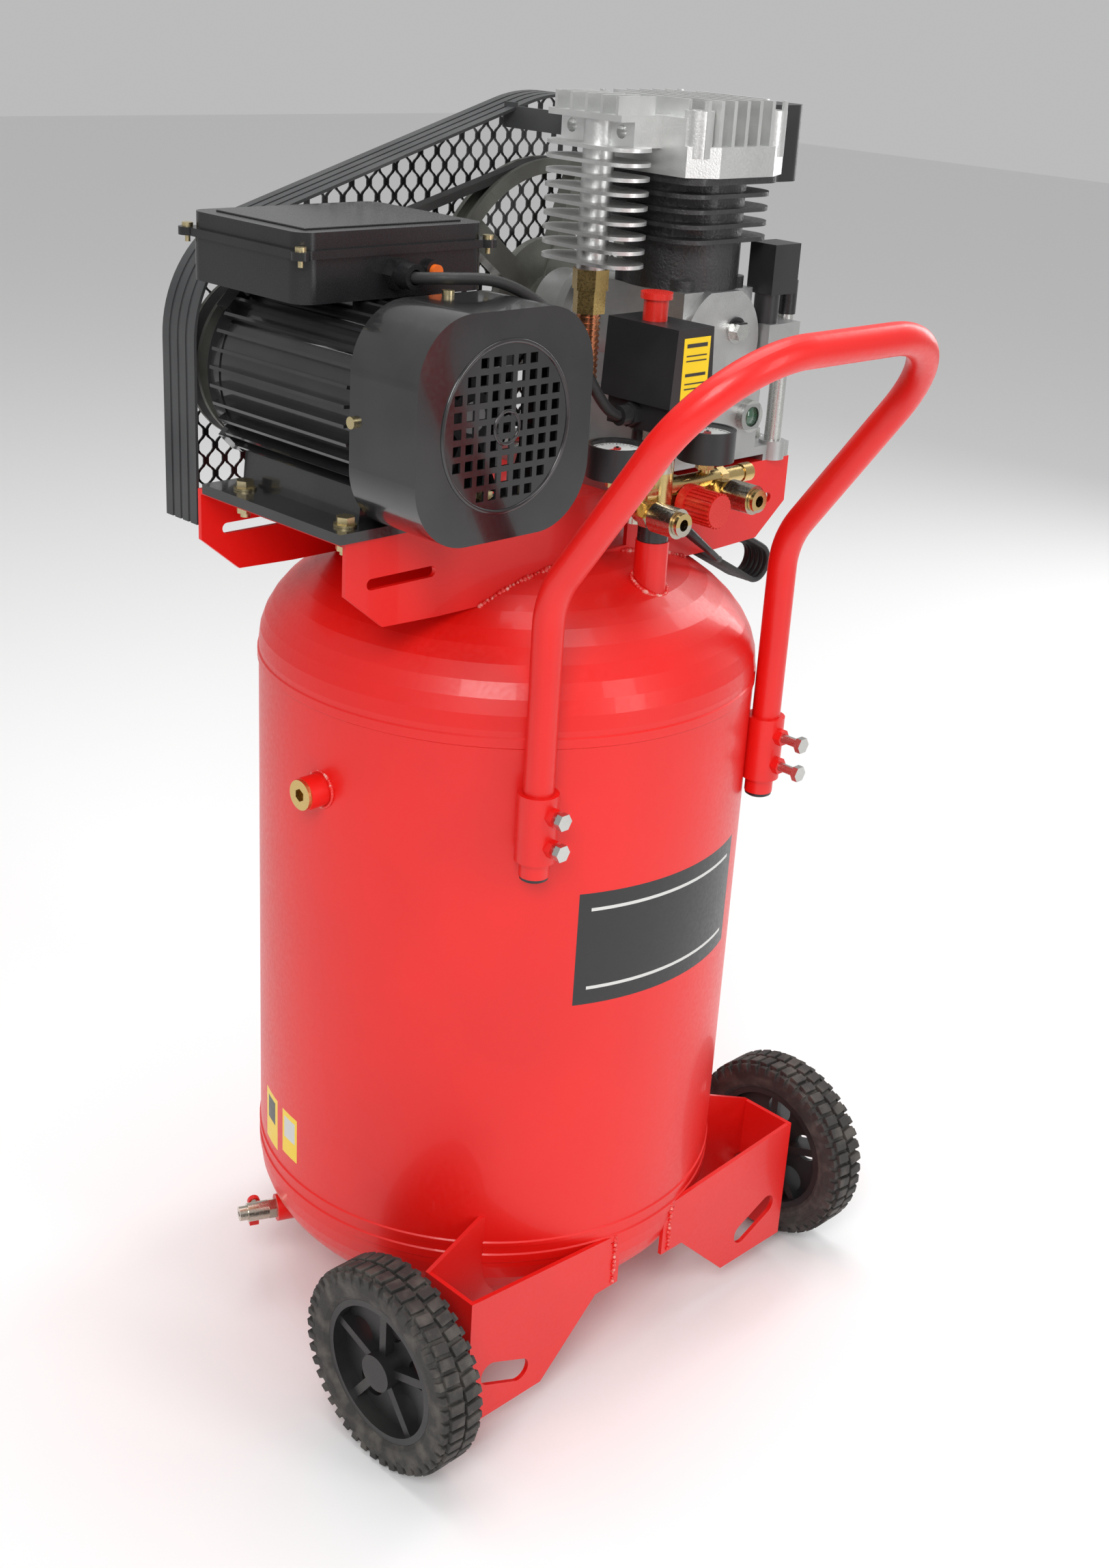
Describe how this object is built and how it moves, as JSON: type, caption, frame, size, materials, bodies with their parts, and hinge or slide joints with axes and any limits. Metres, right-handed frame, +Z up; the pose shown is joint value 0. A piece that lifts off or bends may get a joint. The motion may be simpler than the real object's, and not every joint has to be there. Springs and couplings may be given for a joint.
{
  "type": "wheeled vertical air compressor",
  "caption": "Wheeled upright belt-driven air compressor: red tank, single-cylinder pump, foot-mounted motor, guard, pressure switch and regulator manifold.",
  "frame": {"origin": "on the floor under the middle of the whole outline, cord and plug left out", "axes": "+Z up; -Y towards the handle and wheels; +X towards the pump, -X towards the motor"},
  "size_m": [0.565, 0.5678, 1.112],
  "materials": {
    "red_paint": "gloss",
    "zinc": "satin",
    "yellow_zinc": "satin",
    "black_plastic": "satin",
    "guard_plastic": "satin",
    "guard_paint": "satin",
    "tyre_rubber": "matte",
    "rubber": "matte",
    "motor_paint": "gloss",
    "copper": "satin",
    "steel": "satin",
    "wheel_iron": "satin",
    "black_iron": "rough",
    "aluminium": "satin",
    "brass": "satin",
    "nickel": "satin",
    "red_plastic": "gloss",
    "orange_plastic": "gloss",
    "needle_paint": "satin"
  },
  "bodies": {
    "chassis": {"tank_barrel": "red_paint", "tank_heads": "red_paint", "welded_sockets": "red_paint", "side_plug": "zinc", "drain_valve": "zinc", "platform": "red_paint", "handle_tube": "red_paint", "chassis_bolts": "zinc", "wheel_brackets": "red_paint", "rubber_foot": "rubber", "motor_frame": "motor_paint", "motor_windings": "copper", "motor_end_shields": "motor_paint", "fan_cowl": "black_plastic", "terminal_box": "black_plastic", "terminal_box_lid": "black_plastic", "motor_screws": "yellow_zinc", "ball_bearings": "steel", "crankcase": "aluminium", "crankcase_cover": "aluminium", "oil_fittings": "aluminium", "breather": "black_plastic", "pump_barrel": "black_iron", "valve_plate": "aluminium", "cylinder_head": "aluminium", "pump_bolts": "zinc", "air_filter": "black_plastic", "discharge_post": "aluminium", "discharge_pipe": "brass", "drive_belt": "rubber", "guard_rim": "guard_plastic", "guard_mesh": "guard_paint", "switch_base": "black_plastic", "switch_cover": "black_plastic", "manifold": "nickel", "gauges": "black_plastic", "motor_lead": "rubber", "mains_cord": "rubber", "cord_hank": "rubber", "mains_plug": "rubber"},
    "wheel_left": {"rim_left": "black_plastic", "tyre_left": "tyre_rubber"},
    "wheel_right": {"rim_right": "black_plastic", "tyre_right": "tyre_rubber"},
    "crank": {"crankshaft": "steel", "flywheel": "wheel_iron"},
    "motor_rotor": {"rotor_shaft": "steel", "cooling_fan": "black_plastic", "motor_pulley": "wheel_iron"},
    "piston_assembly": {"piston": "aluminium", "connecting_rod": "steel"},
    "drain_lever": {"drain_lever": "red_paint"},
    "reset_button": {"reset_button": "orange_plastic"},
    "switch_knob": {"switch_knob": "red_plastic"},
    "regulator_knob": {"regulator_knob": "red_plastic"},
    "coupler_sleeve_left": {"coupler_sleeve_left": "zinc"},
    "coupler_sleeve_right": {"coupler_sleeve_right": "zinc"},
    "safety_cap": {"safety_cap": "brass"},
    "gauge_needle_left": {"gauge_needle_left": "needle_paint"},
    "gauge_needle_right": {"gauge_needle_right": "needle_paint"}
  },
  "joints": [
    {"name": "wheel_left_spin", "type": "hinge", "parent": "chassis", "child": "wheel_left", "pos_m": [-0.261, -0.10732, 0.095], "axis": [1, 0, 0], "continuous": true},
    {"name": "wheel_right_spin", "type": "hinge", "parent": "chassis", "child": "wheel_right", "pos_m": [0.261, -0.10732, 0.095], "axis": [1, 0, 0], "continuous": true},
    {"name": "crank_spin", "type": "hinge", "parent": "chassis", "child": "crank", "pos_m": [0.138, 0.18568, 0.916], "axis": [0, 1, 0], "continuous": true},
    {"name": "motor_spin", "type": "hinge", "parent": "chassis", "child": "motor_rotor", "pos_m": [-0.178, 0.18568, 0.896], "axis": [0, 1, 0], "continuous": true},
    {"name": "piston_stroke", "type": "slide", "parent": "chassis", "child": "piston_assembly", "axis": [0, 0, 1], "range_m": [0, 0.046]},
    {"name": "drain_lever_turn", "type": "hinge", "parent": "chassis", "child": "drain_lever", "pos_m": [-0.20566, 0.16682, 0.085], "axis": [0.3907, 0.9205, 0], "range_deg": [0, 90]},
    {"name": "reset_button_press", "type": "slide", "parent": "chassis", "child": "reset_button", "axis": [0, 1, 0], "range_m": [0, 0.003], "stiffness_N_per_m": 400},
    {"name": "switch_knob_pull", "type": "slide", "parent": "chassis", "child": "switch_knob", "axis": [0, 0, 1], "range_m": [0, 0.006]},
    {"name": "regulator_knob_turn", "type": "hinge", "parent": "chassis", "child": "regulator_knob", "pos_m": [0.054, -0.09732, 0.802], "axis": [0, 1, 0], "range_deg": [-360, 360]},
    {"name": "coupler_sleeve_left_pull", "type": "slide", "parent": "chassis", "child": "coupler_sleeve_left", "axis": [0, 1, 0], "range_m": [0, 0.003], "stiffness_N_per_m": 500},
    {"name": "coupler_sleeve_right_pull", "type": "slide", "parent": "chassis", "child": "coupler_sleeve_right", "axis": [0, 1, 0], "range_m": [0, 0.003], "stiffness_N_per_m": 500},
    {"name": "safety_cap_pull", "type": "slide", "parent": "chassis", "child": "safety_cap", "axis": [1, 0, 0], "range_m": [0, 0.003], "stiffness_N_per_m": 500},
    {"name": "gauge_needle_left_turn", "type": "hinge", "parent": "chassis", "child": "gauge_needle_left", "pos_m": [-0.027, -0.07732, 0.855], "axis": [0, 0, 1], "range_deg": [-270, 0]},
    {"name": "gauge_needle_right_turn", "type": "hinge", "parent": "chassis", "child": "gauge_needle_right", "pos_m": [0.082, -0.07732, 0.855], "axis": [0, 0, 1], "range_deg": [-270, 0]}
  ],
  "couplings": [
    {"joint": "motor_spin", "follows": "crank_spin", "ratio": 1.964}
  ]
}
